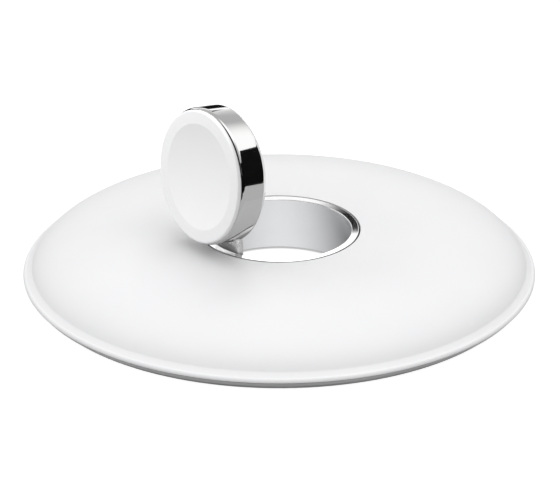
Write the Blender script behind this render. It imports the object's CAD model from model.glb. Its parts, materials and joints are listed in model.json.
import json
from math import atan2, cos, pi, radians, sin, sqrt, tan

import bmesh
import bpy
from mathutils import Matrix, Vector

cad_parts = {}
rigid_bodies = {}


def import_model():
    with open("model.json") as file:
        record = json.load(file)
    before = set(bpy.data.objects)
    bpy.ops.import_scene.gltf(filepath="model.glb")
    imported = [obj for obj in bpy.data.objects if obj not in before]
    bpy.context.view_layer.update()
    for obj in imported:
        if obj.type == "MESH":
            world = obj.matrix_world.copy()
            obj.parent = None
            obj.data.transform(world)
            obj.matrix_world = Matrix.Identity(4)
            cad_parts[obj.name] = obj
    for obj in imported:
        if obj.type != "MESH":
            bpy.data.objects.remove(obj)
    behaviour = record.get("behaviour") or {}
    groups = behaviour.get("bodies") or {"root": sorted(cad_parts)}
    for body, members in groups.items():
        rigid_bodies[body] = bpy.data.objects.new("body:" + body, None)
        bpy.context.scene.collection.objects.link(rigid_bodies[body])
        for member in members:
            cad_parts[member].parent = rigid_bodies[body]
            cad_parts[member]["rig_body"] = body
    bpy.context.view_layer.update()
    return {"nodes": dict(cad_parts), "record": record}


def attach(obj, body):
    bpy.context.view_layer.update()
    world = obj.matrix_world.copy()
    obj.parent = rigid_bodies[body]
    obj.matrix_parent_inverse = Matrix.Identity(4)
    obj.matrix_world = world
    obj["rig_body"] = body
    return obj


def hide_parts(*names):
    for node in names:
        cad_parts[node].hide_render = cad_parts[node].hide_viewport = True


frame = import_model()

NODES = frame["nodes"]
MM = 0.001

# ------------------------------------------------------------------ sizes of the dock, in millimetres
TOP = 11.7          # top of the ring and of the flat crown
LIP_R = 52.25       # the dock at its widest
CROWN_R = 28.5      # where the crown starts to roll down
WELL_R, RING_R = 14.7, 16.35
DISC_R, DISC_HALF, BACK = 13.9, 2.665, -4.565
DISH_R, DISH_D, FACE = 10.75, 0.95, 3.065
REACH, HINGE_Z, HINGE_OFF, LEAN = 18.6, 9.4, 0.509, 6.9
ARM_R, ARM_W, ARM_T, SPOKE = 6.2, 8.0, 1.8, 215.0

# the disc's own frame at rest: x along the hinge, y up the disc, z out of its face
DISC = (Matrix.Translation((0, -REACH * MM, HINGE_Z * MM)) @ Matrix.Rotation(radians(90 - LEAN), 4, "X")
        @ Matrix.Translation((0, REACH * MM, HINGE_OFF * MM)))
# the hinge's own frame: x along the hinge, origin on the hinge axis
HINGE = Matrix.Translation((0, -REACH * MM, HINGE_Z * MM))


# ------------------------------------------------------------------ node helpers for materials
class Nodes:
    """A material's node tree, with short names for the nodes used here."""

    def __init__(self, name):
        self.mat = bpy.data.materials.new(name)
        self.mat.use_nodes = True
        self.t = self.mat.node_tree
        self.b = self.t.nodes["Principled BSDF"]
        self.co = self.t.nodes.new("ShaderNodeTexCoord").outputs["Object"]

    def link(self, a, b):
        self.t.links.new(a, b)

    def new(self, kind, **props):
        n = self.t.nodes.new(kind)
        for k, v in props.items():
            setattr(n, k, v)
        return n

    def put(self, n, **values):
        for k, v in values.items():
            s = n.inputs[k.replace("_", " ")]
            if hasattr(v, "is_linked") or hasattr(v, "links"):
                self.link(v, s)
            else:
                s.default_value = v
        return n

    def noise(self, scale, detail=2.0, rough=0.5, vec=None, stretch=None, distortion=0.0):
        v = self.co if vec is None else vec
        if stretch:
            m = self.new("ShaderNodeMapping")
            m.inputs["Scale"].default_value = stretch
            self.link(v, m.inputs["Vector"])
            v = m.outputs["Vector"]
        n = self.new("ShaderNodeTexNoise")
        self.put(n, Scale=scale, Detail=detail, Roughness=rough, Distortion=distortion)
        self.link(v, n.inputs["Vector"])
        return n.outputs["Fac"]

    def math(self, op, a, b=0.0, clamp=False):
        n = self.new("ShaderNodeMath", operation=op, use_clamp=clamp)
        for i, v in enumerate((a, b)):
            if hasattr(v, "links"):
                self.link(v, n.inputs[i])
            else:
                n.inputs[i].default_value = v
        return n.outputs[0]

    def remap(self, fac, lo, hi, a=0.0, b=1.0):
        n = self.new("ShaderNodeMapRange")
        n.clamp = True
        self.link(fac, n.inputs["Value"])
        for k, v in (("From Min", lo), ("From Max", hi), ("To Min", a), ("To Max", b)):
            n.inputs[k].default_value = v
        return n.outputs["Result"]

    def mix(self, fac, a, b, blend="MIX"):
        n = self.new("ShaderNodeMix", data_type="RGBA", blend_type=blend)
        if hasattr(fac, "links"):
            self.link(fac, n.inputs[0])
        else:
            n.inputs[0].default_value = fac
        for i, v in ((6, a), (7, b)):
            if hasattr(v, "links"):
                self.link(v, n.inputs[i])
            else:
                n.inputs[i].default_value = (*v, 1.0)
        return n.outputs[2]

    def bump(self, *layers):
        """layers are (height, strength, distance in metres); they stack."""
        last = None
        for h, strength, dist in layers:
            n = self.new("ShaderNodeBump")
            n.inputs["Strength"].default_value = strength
            n.inputs["Distance"].default_value = dist
            self.link(h, n.inputs["Height"])
            if last is not None:
                self.link(last, n.inputs["Normal"])
            last = n.outputs["Normal"]
        self.link(last, self.b.inputs["Normal"])

    def edges(self, lo=0.52, hi=0.6):
        """1 on sharp outer edges, 0 elsewhere, broken up by a little noise."""
        g = self.new("ShaderNodeNewGeometry")
        e = self.remap(g.outputs["Pointiness"], lo, hi)
        return self.math("MULTIPLY", e, self.remap(self.noise(900, 3), 0.4, 0.62))


def moulded(name, colour, tint, rough=(0.45, 0.6), grain=2600.0, grain_mm=0.02, strength=0.25, worn=None, spec=0.5,
            scuff=0.0, coat=0.0, sheen=0.0, flow=0.15, seam=None):
    """Moulded plastic, rubber or coating: fine grain in the bump, soft variation of tone and gloss, worn edges."""
    m = Nodes(name)
    big = m.noise(70, 3, 0.55)
    fine = m.noise(grain, 4, 0.6)
    c = m.mix(m.remap(big, 0.3, 0.7), colour, tint)
    speck = m.remap(m.noise(grain * 0.6, 2, 0.5), 0.62, 0.78, 0.0, 0.35)
    c = m.mix(speck, c, tuple(x * 0.93 for x in tint))
    if worn:
        c = m.mix(m.math("MULTIPLY", m.edges(), 0.6), c, worn)
    if seam:      # a darker edge inside this radius, in metres
        sep = m.new("ShaderNodeSeparateXYZ")
        m.link(m.co, sep.inputs[0])
        rr = m.math("SQRT", m.math("ADD", m.math("POWER", sep.outputs[0], 2.0), m.math("POWER", sep.outputs[1], 2.0)))
        c = m.mix(m.remap(rr, seam[0], seam[1], 0.6, 0.0), c, (0.05, 0.05, 0.05))
    m.link(c, m.b.inputs["Base Color"])
    r = m.remap(m.math("ADD", m.math("MULTIPLY", big, 0.6), m.math("MULTIPLY", fine, 0.4)), 0.3, 0.7, *rough)
    if scuff:
        s = m.remap(m.noise(240, 5, 0.7, stretch=(1, 6, 1), distortion=0.6), 0.64, 0.72, 0.0, scuff)
        r = m.math("SUBTRACT", r, s)
    m.link(r, m.b.inputs["Roughness"])
    m.b.inputs["Specular IOR Level"].default_value = spec
    m.b.inputs["Coat Weight"].default_value = coat
    m.b.inputs["Coat Roughness"].default_value = 0.15
    m.b.inputs["Sheen Weight"].default_value = sheen
    m.b.inputs["Sheen Roughness"].default_value = 0.4
    m.bump((big, flow, 0.0002), (fine, strength, grain_mm * MM))
    return m.mat


def metal(name, colour, tint, rough=(0.2, 0.35), lines="turned", pitch=9000.0, depth=0.15, smudge=0.06, worn=None,
          metallic=1.0):
    """Metal with its working marks: turned rings, drawn lines or a tumbled grain, with smudges in the gloss."""
    m = Nodes(name)
    big = m.noise(110, 4, 0.6)
    if lines == "turned":
        sep = m.new("ShaderNodeSeparateXYZ")
        m.link(m.co, sep.inputs[0])
        rr = m.math("SQRT", m.math("ADD", m.math("POWER", sep.outputs[0], 2.0), m.math("POWER", sep.outputs[1], 2.0)))
        comb = m.new("ShaderNodeCombineXYZ")
        m.link(rr, comb.inputs[0])
        m.link(sep.outputs[2], comb.inputs[1])
        fine = m.noise(pitch, 3, 0.6, vec=comb.outputs[0])
    elif lines == "drawn":
        fine = m.noise(pitch, 3, 0.6, stretch=(0.04, 1, 1))
    else:
        fine = m.noise(pitch * 0.4, 4, 0.65)
    c = m.mix(m.remap(big, 0.3, 0.7), colour, tint)
    c = m.mix(m.remap(fine, 0.35, 0.65, 0.0, 0.25), c, tuple(x * 0.92 for x in tint))
    if worn:
        c = m.mix(m.math("MULTIPLY", m.edges(), 0.5), c, worn)
    m.link(c, m.b.inputs["Base Color"])
    m.b.inputs["Metallic"].default_value = metallic
    r = m.remap(fine, 0.3, 0.7, *rough)
    s = m.remap(m.noise(160, 4, 0.65, distortion=0.8), 0.55, 0.75, 0.0, smudge)
    m.link(m.math("ADD", r, s), m.b.inputs["Roughness"])
    m.bump((fine, depth, 0.000012), (m.noise(420, 2), 0.05, 0.00005))
    return m.mat


MATS = {
    "cover_white": moulded("soft-white-skin", (0.865, 0.865, 0.872), (0.85, 0.852, 0.86), (0.5, 0.62), 3200, 0.018, 0.22,
                           worn=(0.9, 0.9, 0.9), spec=0.35, scuff=0.05, seam=(0.01654, 0.01662)),
    "frame_white": moulded("moulded-white-frame", (0.78, 0.78, 0.77), (0.74, 0.74, 0.73), (0.4, 0.55), 1500, 0.03, 0.3),
    "tray_grey": moulded("moulded-grey-tray", (0.56, 0.56, 0.565), (0.52, 0.52, 0.525), (0.45, 0.6), 1800, 0.03, 0.35,
                         worn=(0.6, 0.6, 0.61)),
    "sole_rubber": moulded("grey-sole-rubber", (0.44, 0.44, 0.445), (0.4, 0.4, 0.405), (0.65, 0.85), 1200, 0.05, 0.6,
                           spec=0.3, sheen=0.1),
    "seal_rubber": moulded("seal-rubber", (0.06, 0.06, 0.062), (0.045, 0.045, 0.047), (0.5, 0.7), 1500, 0.03, 0.5, spec=0.4),
    "polished_steel": metal("polished-steel", (0.5, 0.498, 0.496), (0.482, 0.481, 0.479), (0.035, 0.07), "turned", 14000,
                            0.035, 0.03),
    "satin_aluminium": metal("satin-aluminium", (0.83, 0.84, 0.85), (0.79, 0.8, 0.815), (0.24, 0.34), "turned", 9000, 0.25),
    "screw_steel": metal("screw-steel", (0.56, 0.56, 0.57), (0.48, 0.48, 0.5), (0.22, 0.36), "turned", 9000, 0.2),
    "ballast_steel": metal("ballast-steel", (0.5, 0.5, 0.5), (0.42, 0.41, 0.4), (0.35, 0.55), "tumbled", 5000, 0.4),
    "bracket_zinc": metal("die-cast-zinc", (0.56, 0.57, 0.58), (0.48, 0.49, 0.5), (0.4, 0.58), "tumbled", 6000, 0.5),
    "spring_steel": metal("spring-steel", (0.42, 0.41, 0.4), (0.36, 0.35, 0.34), (0.25, 0.4), "drawn", 6000, 0.3),
    "washer_acetal": moulded("washer-acetal", (0.05, 0.05, 0.052), (0.04, 0.04, 0.042), (0.35, 0.5), 2000, 0.02, 0.3),
    "black_rubber": moulded("black-rubber", (0.03, 0.03, 0.031), (0.022, 0.022, 0.023), (0.6, 0.8), 1600, 0.04, 0.5, spec=0.35),
    "board_green": moulded("solder-mask-green", (0.02, 0.12, 0.05), (0.015, 0.1, 0.045), (0.3, 0.42), 900, 0.03, 0.3, coat=0.3),
    "chip_black": moulded("chip-moulding", (0.035, 0.035, 0.036), (0.028, 0.028, 0.03), (0.5, 0.65), 3500, 0.02, 0.4),
    "inductor_ferrite": moulded("inductor-ferrite", (0.075, 0.075, 0.08), (0.055, 0.055, 0.06), (0.45, 0.65), 2500, 0.04, 0.5),
    "capacitor_ceramic": moulded("capacitor-ceramic", (0.42, 0.32, 0.21), (0.36, 0.27, 0.17), (0.3, 0.45), 3500, 0.02, 0.3),
    "shield_tin": metal("tin-plate", (0.66, 0.66, 0.65), (0.58, 0.58, 0.57), (0.25, 0.4), "drawn", 5000, 0.25),
    "socket_cream": moulded("socket-nylon", (0.66, 0.63, 0.54), (0.6, 0.57, 0.48), (0.4, 0.55), 2200, 0.02, 0.3),
    "lead_insulation": moulded("lead-insulation", (0.46, 0.05, 0.035), (0.38, 0.04, 0.03), (0.35, 0.5), 2200, 0.02, 0.3),
    "inlet_steel": metal("inlet-steel", (0.6, 0.6, 0.6), (0.53, 0.53, 0.54), (0.18, 0.3), "drawn", 7000, 0.2),
    "contact_gold": metal("contact-gold", (0.78, 0.56, 0.22), (0.7, 0.48, 0.18), (0.2, 0.32), "drawn", 7000, 0.15),
    "flex_amber": moulded("flex-polyimide", (0.42, 0.19, 0.035), (0.36, 0.15, 0.03), (0.25, 0.4), 1800, 0.02, 0.25, coat=0.2),
    "face_white": moulded("white-polycarbonate", (0.755, 0.755, 0.76), (0.748, 0.749, 0.754), (0.3, 0.36), 3000, 0.006, 0.06,
                          spec=0.4, flow=0.03),
    "coil_copper": metal("coil-copper", (0.75, 0.35, 0.18), (0.66, 0.28, 0.13), (0.25, 0.4), "turned", 7000, 0.4),
    "ferrite_dark": moulded("ferrite-sheet", (0.045, 0.045, 0.05), (0.035, 0.035, 0.04), (0.5, 0.7), 2400, 0.04, 0.5),
    "magnet_nickel": metal("magnet-nickel", (0.66, 0.64, 0.6), (0.58, 0.56, 0.52), (0.15, 0.28), "tumbled", 6000, 0.2),
    "thermal_blue": moulded("thermal-pad", (0.2, 0.28, 0.42), (0.17, 0.24, 0.37), (0.6, 0.8), 1400, 0.05, 0.6),
    "pin_steel": metal("pin-steel", (0.6, 0.6, 0.61), (0.53, 0.53, 0.54), (0.15, 0.28), "drawn", 8000, 0.2),
}
LINER_SATIN = metal("liner-satin", (0.66, 0.665, 0.675), (0.63, 0.635, 0.645), (0.27, 0.33), "tumbled", 14000, 0.06, 0.02)
ARM_STEEL = metal("arm-satin", (0.8, 0.8, 0.805), (0.76, 0.76, 0.766), (0.22, 0.28), "drawn", 12000, 0.01, 0.01, metallic=0.85)
RING_STEEL = metal("ring-polish", (0.86, 0.86, 0.86), (0.84, 0.84, 0.842), (0.05, 0.08), "turned", 14000, 0.008, 0.02)
SLOT_OF = {}
for sub in frame["record"].get("subparts", []):
    SLOT_OF[sub["node"]] = sub["material_slot"]


# ------------------------------------------------------------------ mesh helpers
def give(o, slot):
    o.data.materials.clear()
    o.data.materials.append(MATS[slot])
    return o


def make(name, bm, slot, angle=32.0, matrix=None):
    me = bpy.data.meshes.new(name)
    bmesh.ops.recalc_face_normals(bm, faces=bm.faces)
    bm.to_mesh(me)
    bm.free()
    for p in me.polygons:
        p.use_smooth = True
    me.set_sharp_from_angle(angle=radians(angle))
    o = bpy.data.objects.new(name, me)
    bpy.context.scene.collection.objects.link(o)
    if matrix is not None:
        o.matrix_world = matrix
    return give(o, slot)


def lathe(pts, seg=256):
    """A closed outline of (radius, height) points in mm, turned about Z into a closed mesh in metres."""
    bm = bmesh.new()
    rings = []
    for r, z in pts:
        if r < 1e-6:
            rings.append([bm.verts.new((0, 0, z * MM))])
        else:
            rings.append([bm.verts.new((r * MM * cos(2 * pi * k / seg), r * MM * sin(2 * pi * k / seg), z * MM))
                          for k in range(seg)])
    n = len(rings)
    for i in range(n):
        a, b = rings[i], rings[(i + 1) % n]
        if len(a) == 1 and len(b) == 1:
            continue
        for k in range(seg):
            j = (k + 1) % seg
            if len(a) == 1:
                bm.faces.new((a[0], b[j], b[k]))
            elif len(b) == 1:
                bm.faces.new((a[k], a[j], b[0]))
            else:
                bm.faces.new((a[k], a[j], b[j], b[k]))
    return bm


def arc(cx, cy, r, a0, a1, n=8):
    return [(cx + r * cos(radians(a0 + (a1 - a0) * i / n)), cy + r * sin(radians(a0 + (a1 - a0) * i / n))) for i in range(n + 1)]


def rounded(pts, radii, n=6):
    """The same closed outline with its corners rounded: radii is one number, or a dict of corner index to radius."""
    out = []
    m = len(pts)
    for i, p in enumerate(pts):
        r = radii.get(i, 0) if isinstance(radii, dict) else radii
        if not r:
            out.append(p)
            continue
        a, b = Vector(pts[i - 1]), Vector(pts[(i + 1) % m])
        c = Vector(p)
        u, v = (a - c), (b - c)
        lu, lv = u.length, v.length
        u.normalize(); v.normalize()
        half = u.angle(v) / 2
        t = min(r / tan(half), lu * 0.49, lv * 0.49)
        rr = t * tan(half)
        centre = c + (u + v).normalized() * (rr / sin(half))
        p0, p1 = c + u * t, c + v * t
        a0 = atan2(p0.y - centre.y, p0.x - centre.x)
        a1 = atan2(p1.y - centre.y, p1.x - centre.x)
        d = (a1 - a0 + pi) % (2 * pi) - pi
        out += [(centre.x + rr * cos(a0 + d * k / n), centre.y + rr * sin(a0 + d * k / n)) for k in range(n + 1)]
    return out


def prism(outline, x0, x1, edge=0.0, n=4):
    """An outline of (a, b) points in mm, run along a third axis from x0 to x1, its rim edges rounded by edge. Axes: x, a, b."""
    bm = bmesh.new()
    m = len(outline)

    def inset(d):
        if d <= 0:
            return [Vector(p) for p in outline]
        res = []
        for i in range(m):
            p = Vector(outline[i])
            a = (p - Vector(outline[i - 1])).normalized()
            b = (Vector(outline[(i + 1) % m]) - p).normalized()
            na, nb = Vector((-a.y, a.x)), Vector((-b.y, b.x))
            k = (na + nb)
            k = k / max(0.35, k.length_squared / 2) if k.length > 1e-6 else na
            res.append(p + k * d)
        return res

    area = sum(outline[i - 1][0] * outline[i][1] - outline[i][0] * outline[i - 1][1] for i in range(m))
    s = 1 if area > 0 else -1
    steps = [(x0 + edge * (1 - cos(pi / 2 * k / n)), edge * (1 - sin(pi / 2 * k / n))) for k in range(n + 1)] if edge else [(x0, 0)]
    steps += [(x1 - (x - x0), d) for x, d in reversed(steps)]
    rings = []
    for x, d in steps:
        pts = [Vector(p) for p in outline] if d <= 1e-9 else inset(d) if s > 0 else None
        if pts is None:
            raise ValueError("outline must run anticlockwise")
        rings.append([bm.verts.new((x * MM, p.x * MM, p.y * MM)) for p in pts])
    for a, b in zip(rings, rings[1:]):
        for i in range(m):
            j = (i + 1) % m
            bm.faces.new((a[i], a[j], b[j], b[i]))
    bm.faces.new(rings[0])
    bm.faces.new(rings[-1])
    return bm


def settle(o, angle=32.0):
    """Applies an object's modifiers to its mesh."""
    bpy.context.view_layer.update()
    me = bpy.data.meshes.new_from_object(o.evaluated_get(bpy.context.evaluated_depsgraph_get()))
    o.modifiers.clear()
    o.data = me
    for p in me.polygons:
        p.use_smooth = True
    me.set_sharp_from_angle(angle=radians(angle))
    return o


def cut(o, *tools, op="DIFFERENCE", angle=32.0):
    for t in tools:
        m = o.modifiers.new("cut", "BOOLEAN")
        m.operation, m.solver, m.object = op, "EXACT", t
        settle(o, angle)
        bpy.data.objects.remove(t)
    return o


def solid(name, bm, matrix=None):
    """A scratch object for a boolean."""
    me = bpy.data.meshes.new(name)
    bmesh.ops.recalc_face_normals(bm, faces=bm.faces)
    bm.to_mesh(me)
    bm.free()
    o = bpy.data.objects.new(name, me)
    bpy.context.scene.collection.objects.link(o)
    if matrix is not None:
        o.matrix_world = matrix
    return o


def refined(node, slot=None, angle=32.0, ease=None):
    """A copy of a CAD node's own shape, welded so that it shades as one smooth surface. ease draws a radius in a little."""
    src = NODES[node]
    bm = bmesh.new()
    bm.from_mesh(src.data)
    bmesh.ops.remove_doubles(bm, verts=bm.verts, dist=3e-6)
    bmesh.ops.dissolve_limit(bm, angle_limit=radians(0.6), verts=bm.verts, edges=bm.edges)
    for v in (bm.verts if ease else []):
        r = sqrt(v.co.x ** 2 + v.co.y ** 2)
        k = ease(r / MM, v.co.z / MM) / (r / MM) if r > 0 else 1.0
        v.co.x, v.co.y = v.co.x * k, v.co.y * k
    slot = slot or SLOT_OF[node]
    o = make(node + "-finished", bm, slot, angle)
    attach(o, src["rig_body"])
    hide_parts(node)
    return o


def finish_piece(o, node, body):
    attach(o, body)
    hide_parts(node)
    return o


# every CAD node starts with its own worked material
for n, o in NODES.items():
    give(o, SLOT_OF[n])


# ------------------------------------------------------------------ the base
def dome(r, d=0.0):
    half = LIP_R - 1.45 - CROWN_R
    return TOP - 9.35 + (9.35 - d) * sqrt(max(0.0, 1 - ((r - CROWN_R) / (half - d)) ** 2))


def run(r0, r1, n, d=0.0):
    """Points down the dome, closer together where it is steep."""
    return [(r, dome(r, d)) for r in (r0 + (r1 - r0) * (1 - (1 - i / n) ** 1.9) for i in range(n + 1))]


def stadium(w, h, cx, cz, n=14):
    k = (w - h) / 2
    return arc(cx + k, cz, h / 2, -90, 90, n) + arc(cx - k, cz, h / 2, 90, 270, n)


foot = LIP_R - 1.85
skin = (
    [(16.48, 10.5), (16.48, 11.54)] + arc(16.63, 11.57, 0.13, 180, 90, 5)
    + [(16.75, TOP), (22, TOP), (27, TOP)]
    + run(CROWN_R, foot - 0.02, 54)
    + [(foot + 0.05, dome(foot) - 0.13), (foot + 0.16, dome(foot) - 0.26), (51.62, 3.17)]
    + arc(51.6, 2.58, 0.65, 66, -22, 16)
    + [(52.05, 2.3), (49.4, 2.3)]
    + [(r, z) for r, z in reversed(run(CROWN_R, 49.35, 14, 1.2))]
    + [(20, 10.5)]
)
def box(name, x0, y0, z0, dx, dy, dz):
    bm = bmesh.new()
    bmesh.ops.create_cube(bm, size=1.0)
    for v in bm.verts:
        v.co = Vector(((x0 + dx * (v.co.x + 0.5)) * MM, (y0 + dy * (v.co.y + 0.5)) * MM, (z0 + dz * (v.co.z + 0.5)) * MM))
    return solid(name, bm)


cover = make("dome-skin", lathe(skin, 384), "cover_white")
tool = solid("t1", prism(stadium(9.58, 3.8, 0, 0), -10, 10), Matrix.Translation((0, 0.05, 0.0033)) @ Matrix.Rotation(radians(90), 4, "Z"))
cut(cover, tool, box("t2", -11.8, -20.35, TOP - 2.2, 23.6, 3.5, 1.7))      # the hole for the inlet, and the pocket for the hinge knuckles
finish_piece(cover, "top_cover", "dock_base")

ring = make("steel-ring", lathe(
    [(WELL_R, TOP - 0.31), (WELL_R, TOP - 0.28)] + arc(WELL_R + 0.14, TOP - 0.2495, 0.14, 180, 95, 8)
    + [(r, TOP - 0.0005 - (RING_R - 0.25 - r) * 0.0875) for r in (WELL_R + 0.16, WELL_R + 0.22, WELL_R + 0.8, RING_R - 0.34, RING_R - 0.27)]
    + arc(RING_R - 0.24, TOP - 0.12, 0.12, 95, 0, 8) + [(RING_R - 0.12, TOP - 1.5), (15.85, TOP - 1.5), (15.85, TOP - 0.31)], 320), "polished_steel", 40)
ring.data.materials[0] = RING_STEEL
finish_piece(ring, "ring_bezel", "dock_base")

# the sleeve that lines the well, with the slot that the arm swings through
foot_in = WELL_R + 1.25
liner = make("liner-sleeve", lathe(
    [(WELL_R + 0.03, TOP - 0.32), (foot_in + 0.12, 0.3), (foot_in + 0.25, 0.15), (foot_in + 0.9, 0.15), (foot_in + 1.02, 0.3),
     (foot_in + 0.92, 1.75), (19.7, 1.75), (19.7, 2.35), (foot_in + 0.845, 2.35), (WELL_R + 1.02, TOP - 0.85), (WELL_R + 1.02, TOP - 0.32)], 320), "satin_aluminium")


cut(liner, box("t6", -ARM_W / 2 - 0.5, -22, 1.9, ARM_W + 1, 9, 7.2))
cut(liner, box("t7", -13, -24, 1.2, 26, 24 - 17.15, 1.3))
cut(liner, box("t8", -ARM_W / 2 - 0.5, -24, 1.2, ARM_W + 1, 24 - 17.05, 1.3))
liner.data.materials.clear()
liner.data.materials.append(LINER_SATIN)
finish_piece(liner, "well_liner", "dock_base")

refined("base_tray", ease=lambda r, z: r - 0.3 * max(0.0, min(1.0, (2.1 - z) / 1.6)) if r > 49.5 else r)
refined("sole_pad", ease=lambda r, z: r - 0.32 - (0.15 if z < 0.1 else 0.0) if r > 45 else r)
for n in ("edge_seal", "inlet_shell", "inlet_tongue", "inlet_trim", "hinge_bracket",
          "cover_frame", "ballast_ring", "flat_stop_pad", "hinge_washers"):
    refined(n)

# ------------------------------------------------------------------ the charging disc
side = [(DISC_R - 0.02 * ((2 * (z + 0.2) / 5.0) ** 2), z) for z in (-2.55, -2.0, -1.4, -0.8, -0.2, 0.4, 1.0, 1.45)]
shell = make("disc-shell", lathe(
    [(0, BACK), (4, BACK), (8, BACK), (11.4, BACK)] + arc(12.12, BACK + 0.62, 0.62, -90, -36, 8)
    + arc(DISC_R - 0.72, -2.75, 0.7, -36, -2, 8) + side + [(13.44 + 0.45 * cos(radians(7 * k)), 1.62 + 0.74 * sin(radians(7 * k))) for k in range(0, 13)]
    + [(13.485, 2.34), (13.485, 1.0), (12.9, 1.0), (12.9, -2.9), (12.2, -3.9), (0, -3.9)], 360), "polished_steel", 40, DISC)
shell.data.materials.append(RING_STEEL)      # the bevel behind the side wall has the brighter polish
for p in shell.data.polygons:
    if -4.5 * MM < p.center.z < -2.95 * MM and p.center.xy.length > 12.0 * MM:
        p.material_index = 1
finish_piece(shell, "disc_housing", "charging_disc")

sr = (DISH_R ** 2 + DISH_D ** 2) / (2 * DISH_D)
dish = [(DISH_R * k, FACE + sr - DISH_D - sqrt(sr * sr - (DISH_R * k) ** 2))
        for k in [0.997, 0.985, 0.97] + [0.94 * (1 - i / 20) for i in range(0, 21)]]
face = make("disc-face-plate", lathe(
    [(0, 1.01), (13.44, 1.01), (13.46, 2.3)] + arc(13.14, FACE - 0.33, 0.33, 0, 84, 8) + [(12.9, FACE), (12.6, FACE)]
    + [(12.0, FACE), (11.4, FACE), (10.9, FACE), (10.8, FACE)] + dish[:-1] + [(0, dish[-1][1])], 320), "face_white", 40, DISC)
finish_piece(face, "disc_face", "charging_disc")


# the arm: a flat bar with rounded edges, rolled round the hinge axis and up behind the disc
def bar(w, t, r, n=5):
    return (arc(w / 2 - r, t / 2 - r, r, 0, 90, n) + arc(-w / 2 + r, t / 2 - r, r, 90, 180, n)
            + arc(-w / 2 + r, -t / 2 + r, r, 180, 270, n) + arc(w / 2 - r, -t / 2 + r, r, 270, 360, n))


def swept(path, w, t, r, cap=0.25):
    """path is a list of (point, thickness direction, travel direction) in the hinge's (outward, up) plane."""
    bm = bmesh.new()
    rings = []
    first, last = path[0], path[-1]
    line = [(first[0], first[1], cap)] + [(p, m, 0) for p, m, d in path[1:-1]] + [(last[0], last[1], cap)]
    line.insert(1, (first[0] + first[2] * cap * 0.3, first[1], cap * 0.3))
    line.insert(2, (first[0] + first[2] * cap, first[1], 0))
    line.insert(-1, (last[0] - last[2] * cap, last[1], 0))
    line.insert(-1, (last[0] - last[2] * cap * 0.3, last[1], cap * 0.3))
    for p, m, shrink in line:
        sec = bar(w - 2 * shrink, t - 2 * shrink, min(r, (t - 2 * shrink) / 2 - 0.02))
        rings.append([bm.verts.new((a * MM, -(p.x + m.x * b) * MM, (p.y + m.y * b) * MM)) for a, b in sec])
    k = len(rings[0])
    for a, b in zip(rings, rings[1:]):
        for i in range(k):
            j = (i + 1) % k
            bm.faces.new((a[i], a[j], b[j], b[i]))
    bm.faces.new(rings[0])
    bm.faces.new(rings[-1])
    return bm


V = lambda x, y: Vector((x, y))
up = V(0, 1)
path = [(V(-ARM_R, 9.38), V(-1, 0), -up)] + [(V(-ARM_R, z), V(-1, 0), -up) for z in (8.5, 7, 5.5, 4, 2.5, 1.2, 0.3)]
for k in range(0, 15):
    a = radians(180 + (SPOKE + 8.0 - 180) * k / 14)
    path.append((V(ARM_R * cos(a), ARM_R * sin(a)), V(cos(a), sin(a)), V(-sin(a), cos(a))))
arm = make("arm-bar", swept(path, ARM_W - 0.02, ARM_T - 0.02, 0.8), "polished_steel", 40, HINGE)
a = radians(SPOKE)
out = V(cos(a), sin(a))
acr = V(-sin(a), cos(a))
spoke = solid("t2", swept([(out * 0.2, acr, out), (out * 2, acr, out), (out * 4, acr, out), (out * 5.6, acr, out)], ARM_W - 0.04, ARM_T - 0.06, 0.3), HINGE)
boss = solid("t3", lathe(rounded([(0, -3.98), (1.5, -3.98), (1.5, 3.98), (0, 3.98)], {1: 0.15, 2: 0.15}, 3), 48), HINGE @ Matrix.Rotation(radians(90), 4, "Y"))
cut(arm, spoke, boss, op="UNION", angle=40)
pad_line = rounded([(-3.68, -12.08), (3.68, -12.08), (3.68, -7.4)] + arc(0, -7.4, 3.68, 8, 172, 20) + [(-3.68, -7.4)], {0: 0.5, 1: 0.5}, 4)
pad = solid("t4", prism([(x, y) for x, y in pad_line], BACK - 1.78, BACK + 0.02, 0.25),
            DISC @ Matrix(((0, 1, 0, 0), (0, 0, 1, 0), (1, 0, 0, 0), (0, 0, 0, 1))))
cut(arm, pad, op="UNION", angle=40)
bore = solid("t5", lathe([(0, -12), (0.905, -12), (0.905, 12), (0, 12)], 40), HINGE @ Matrix.Rotation(radians(90), 4, "Y"))
cut(arm, bore, angle=40)
arm.data.materials.clear()
arm.data.materials.append(ARM_STEEL)
finish_piece(arm, "hinge_arm", "charging_disc")

for n in ("hinge_pin", "pin_clips"):
    refined(n)


# ------------------------------------------------------------------ the stage
def nodes_of(mat):
    mat.use_nodes = True
    return mat.node_tree


# how bright the paper is where the camera sees it, in polished metal, and as a light on the dock
FLOOR_SEEN, FLOOR_GLOSS, FLOOR_LIT = 0.9, 0.48, 0.05
floor_mesh = bmesh.new()
bmesh.ops.create_grid(floor_mesh, x_segments=40, y_segments=40, size=4.0)
fm = bpy.data.meshes.new("floor")
floor_mesh.to_mesh(fm)
floor_mesh.free()
floor = bpy.data.objects.new("floor", fm)
bpy.context.scene.collection.objects.link(floor)
f = Nodes("pale-paper")
f.b.inputs["Roughness"].default_value = 0.9
f.b.inputs["Specular IOR Level"].default_value = 0.1
f.link(f.mix(f.remap(f.noise(35, 4), 0.3, 0.7), (0.34, 0.34, 0.34), (0.325, 0.325, 0.328)), f.b.inputs["Base Color"])
f.b.inputs["Emission Color"].default_value = (1, 1, 1, 1)
ray = f.new("ShaderNodeLightPath")
glow = f.math("ADD", f.math("MULTIPLY", ray.outputs["Is Camera Ray"], FLOOR_SEEN - FLOOR_LIT),
              f.math("MULTIPLY", ray.outputs["Is Glossy Ray"], FLOOR_GLOSS - FLOOR_LIT))
fsep = f.new("ShaderNodeSeparateXYZ")
f.link(f.co, fsep.inputs[0])
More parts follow.
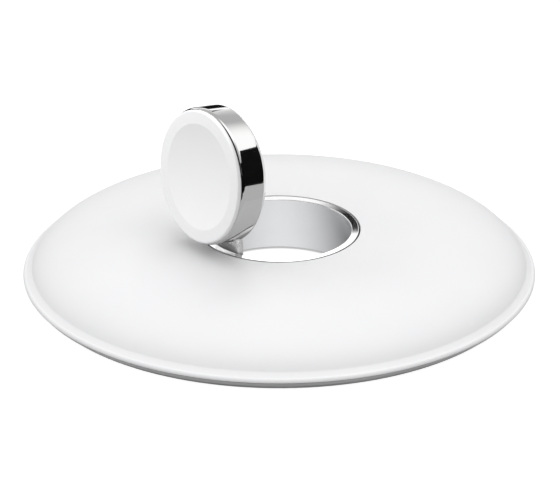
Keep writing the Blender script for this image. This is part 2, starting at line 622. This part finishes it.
fx, fy = fsep.outputs[0], fsep.outputs[1]
# close under the dock the paper is in the dock's own shadow
away = f.math("SQRT", f.math("ADD", f.math("MULTIPLY", fx, fx), f.math("MULTIPLY", fy, fy)))
under = f.math("MULTIPLY", ray.outputs["Is Camera Ray"], f.math("MINIMUM", f.remap(away, 0.0154, 0.0161, 0.0, 0.6), f.remap(away, 0.0480, 0.0490, 0.6, 0.0)))
glow = f.math("MULTIPLY", f.math("ADD", glow, FLOOR_LIT), f.math("SUBTRACT", 1.0, under))
f.link(glow, f.b.inputs["Emission Strength"])
# polished and satin metal looks through the paper inside the well, at the studio's own low panels
clear = f.new("ShaderNodeBsdfTransparent")
both = f.new("ShaderNodeMixShader")
f.link(f.math("MULTIPLY", f.remap(away, 0.0165, 0.0170, 1.0, 0.0), ray.outputs["Is Glossy Ray"]), both.inputs[0])
f.link(f.b.outputs[0], both.inputs[1])
f.link(clear.outputs[0], both.inputs[2])
f.link(both.outputs[0], f.t.nodes["Material Output"].inputs["Surface"])
fm.materials.append(f.mat)


AZIM = radians(54.0)       # the direction to the right of the camera


def flag(name, azimuth, distance, width, z0, z1, fade=None, shift=0.0):
    """A black card on a stand, seen only in reflections. Azimuth is from +X towards +Y."""
    a = radians(azimuth)
    bm = bmesh.new()
    c = Vector((cos(a), sin(a), 0)) * distance + Vector((0, -0.0169, 0)) + Vector((cos(AZIM), sin(AZIM), 0)) * shift
    s = Vector((-sin(a), cos(a), 0)) * width / 2
    nx, nz = 10, 10
    grid = [[bm.verts.new(c + s * (2 * i / nx - 1) + Vector((0, 0, z0 + (z1 - z0) * j / nz))) for i in range(nx + 1)] for j in range(nz + 1)]
    for j in range(nz):
        for i in range(nx):
            bm.faces.new((grid[j][i], grid[j][i + 1], grid[j + 1][i + 1], grid[j + 1][i]))
    me = bpy.data.meshes.new(name)
    bm.to_mesh(me)
    bm.free()
    o = bpy.data.objects.new(name, me)
    bpy.context.scene.collection.objects.link(o)
    m = Nodes(name)
    m.link(m.mix(m.remap(m.noise(60, 3), 0.3, 0.7), (0.01, 0.01, 0.01), (0.014, 0.014, 0.014)), m.b.inputs["Base Color"])
    m.b.inputs["Roughness"].default_value = 0.9
    m.b.inputs["Specular IOR Level"].default_value = 0.0
    m.b.inputs["Emission Color"].default_value = (1, 1, 1, 1)
    m.b.inputs["Emission Strength"].default_value = 0.0
    if fade:      # soft top and bottom edges
        sep = m.new("ShaderNodeSeparateXYZ")
        m.link(m.co, sep.inputs[0])
        m.link(m.math("ADD", m.remap(sep.outputs[2], fade[0], fade[1], 0.0, 1.0), m.remap(sep.outputs[2], fade[2], fade[3], 0.6, 0.0)),
               m.b.inputs["Emission Strength"])
    me.materials.append(m.mat)
    for k in ("visible_camera", "visible_diffuse", "visible_shadow", "visible_transmission", "visible_volume_scatter"):
        setattr(o, k, False)
    return o


flag("flag-right-back", 47.5, 0.27, 0.34, 0.0, 0.245)
flag("flag-left-back", 144, 0.2, 0.3, 0.0, 0.058)
flag("flag-front", -62, 0.112, 0.16, 0.0, 0.07)
flag("flag-right-front", -6, 0.2, 0.17, 0.0, 0.172)
flag("flag-ring", 144, 0.2366, 0.025, 0.1085, 0.147, (0.136, 0.147, 0.1085, 0.1125), 0.0062)

# a studio of soft panels all round, as a world
world = bpy.data.worlds.new("studio")
bpy.context.scene.world = world
world.use_nodes = True
wt = world.node_tree
wt.nodes.clear()
wout = wt.nodes.new("ShaderNodeOutputWorld")
wbg = wt.nodes.new("ShaderNodeBackground")
wt.links.new(wbg.outputs[0], wout.inputs[0])
wdir = wt.nodes.new("ShaderNodeTexCoord").outputs["Generated"]


def wm(op, a, b=0.0, c=None, clamp=False):
    n = wt.nodes.new("ShaderNodeMath")
    n.operation, n.use_clamp = op, clamp
    for i, v in enumerate((a, b) if c is None else (a, b, c)):
        if hasattr(v, "links"):
            wt.links.new(v, n.inputs[i])
        else:
            n.inputs[i].default_value = v
    return n.outputs[0]


def wsmooth(v, lo, hi, a=0.0, b=1.0):
    n = wt.nodes.new("ShaderNodeMapRange")
    n.interpolation_type = "SMOOTHSTEP"
    wt.links.new(v, n.inputs["Value"])
    for k, x in (("From Min", lo), ("From Max", hi), ("To Min", a), ("To Max", b)):
        n.inputs[k].default_value = x
    return n.outputs["Result"]


wsep = wt.nodes.new("ShaderNodeSeparateXYZ")
wt.links.new(wdir, wsep.inputs[0])


def panel(az, el, inner, outer, strength):
    """A round soft panel about a direction, full inside inner degrees and gone at outer."""
    d = Vector((cos(radians(az)) * cos(radians(el)), sin(radians(az)) * cos(radians(el)), sin(radians(el))))
    n = wt.nodes.new("ShaderNodeVectorMath")
    n.operation = "DOT_PRODUCT"
    wt.links.new(wdir, n.inputs[0])
    n.inputs[1].default_value = d
    return wsmooth(n.outputs["Value"], cos(radians(outer)), cos(radians(inner)), 0.0, strength)


def total(parts):
    v = parts[0]
    for q in parts[1:]:
        v = wm("ADD", v, q)
    return v


# what lights the dock, what its polished metal mirrors, and what the camera sees beyond the paper
lit = total([wsmooth(wsep.outputs[2], 0.0, 0.6, 0.345, 0.755), panel(-50, 52, 10, 75, 0.52), panel(80, 62, 10, 60, 0.06), panel(205, 40, 8, 50, 0.3), panel(230, 8, 5, 40, 0.14),
             panel(144, 35, 15, 60, -0.42), panel(54, 10, 5, 45, 0.42)])
low = wsmooth(wsep.outputs[2], sin(radians(8.0)), sin(radians(11.0)), 0.0, 2.0)
mid = wsmooth(wsep.outputs[2], sin(radians(11.0)), sin(radians(24.0)), 0.0, -0.95)
high = wsmooth(wsep.outputs[2], sin(radians(24.0)), sin(radians(34.0)), 0.0, -0.2)
crown = wsmooth(wsep.outputs[2], sin(radians(60.0)), sin(radians(78.0)), 0.0, 1.4)
rim = total([low, mid, high, crown, panel(66, 44, 6, 38, 1.15), panel(152, 27, 8, 16, 0.35)])
seen = wm("MULTIPLY", rim, wm("SUBTRACT", 1.0, panel(-78, 24, 34, 50, 0.96)))
# below the horizon, seen only through the well: bright in front, falling off to the back
facing = wt.nodes.new("ShaderNodeVectorMath")
facing.operation = "DOT_PRODUCT"
wt.links.new(wdir, facing.inputs[0])
facing.inputs[1].default_value = (cos(radians(-36)) * cos(radians(24)), sin(radians(-36)) * cos(radians(24)), -sin(radians(24)))
below = wm("MAXIMUM", wm("ADD", 0.5, wm("MULTIPLY", facing.outputs["Value"], 0.74)), 0.08)
seen = wm("ADD", seen, wm("MULTIPLY", wm("LESS_THAN", wsep.outputs[2], -0.05), wm("SUBTRACT", below, seen)))
path = wt.nodes.new("ShaderNodeLightPath")
light = total([lit, wm("MULTIPLY", path.outputs["Is Glossy Ray"], wm("SUBTRACT", seen, lit)),
               wm("MULTIPLY", path.outputs["Is Camera Ray"], wm("SUBTRACT", 1.0, lit))])
wt.links.new(light, wbg.inputs["Strength"])
wbg.inputs["Color"].default_value = (1, 1, 1, 1)


def soft_light(name, loc, target, size, power):
    d = bpy.data.lights.new(name, "AREA")
    d.shape, d.size, d.energy = "DISK", size, power
    o = bpy.data.objects.new(name, d)
    bpy.context.scene.collection.objects.link(o)
    o.location = loc
    o.rotation_mode = "QUATERNION"
    o.rotation_quaternion = (Vector(target) - Vector(loc)).to_track_quat("-Z", "Y")
    o.visible_camera = False
    o.visible_glossy = False
    return o


overhead = soft_light("overhead", (-0.478, 0.533, 1.0), (0, 0, 0), 0.5, 2.1)
rest_of_it = bpy.data.collections.new("all-but-face")
rest_of_it.objects.link(face)
overhead.light_linking.receiver_collection = rest_of_it
rest_of_it.collection_objects[0].light_linking.link_state = "EXCLUDE"      # the face, which its own key lights
key = soft_light("face-key", Vector((0, -0.017, 0.028)) + Vector((-0.457, -0.309, 0.834)) * 0.13, (0, -0.017, 0.028), 0.05, 0.135)
only = bpy.data.collections.new("face-only")
only.objects.link(face)
key.light_linking.receiver_collection = only
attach(key, "charging_disc")          # it lights the face the same way wherever the disc is turned
side_key = soft_light("arm-key", (0.12, -0.05, 0.03), (0, -0.0245, 0.012), 0.03, 0.4)
arm_only = bpy.data.collections.new("arm-only")
arm_only.objects.link(arm)
side_key.light_linking.receiver_collection = arm_only
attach(side_key, "charging_disc")

# ------------------------------------------------------------------ the camera, at the photograph's angle
cam_data = bpy.data.cameras.new("camera")
cam = bpy.data.objects.new("camera", cam_data)
bpy.context.scene.collection.objects.link(cam)
bpy.context.scene.camera = cam
AZ, EL, DIST, F_PX = radians(54.0), radians(24.4), 0.930, 4569.0
target = Vector((0, 0, TOP * MM))
back = Vector((sin(AZ) * cos(EL), -cos(AZ) * cos(EL), sin(EL)))
right = Vector((cos(AZ), sin(AZ), 0))
upv = right.cross(-back)
dx, dy = (280.0 - 279.27) / F_PX, (246.0 - 228.4) / F_PX      # the ring's centre lies this far left of and above the middle
fwd = (-back + right * dx - upv * dy).normalized()
cam.location = target + back * DIST
r2 = fwd.cross(Vector((0, 0, 1))).normalized()
u2 = r2.cross(fwd)
cam.rotation_mode = "QUATERNION"
cam.rotation_quaternion = Matrix((r2, u2, -fwd)).transposed().to_quaternion()
cam_data.sensor_width = 36.0
cam_data.lens = 36.0 * F_PX / 560.0
cam_data.clip_start, cam_data.clip_end = 0.01, 60.0
cam_data.dof.use_dof = False

bpy.context.scene.view_settings.view_transform = "Standard"
bpy.context.scene.view_settings.look = "None"
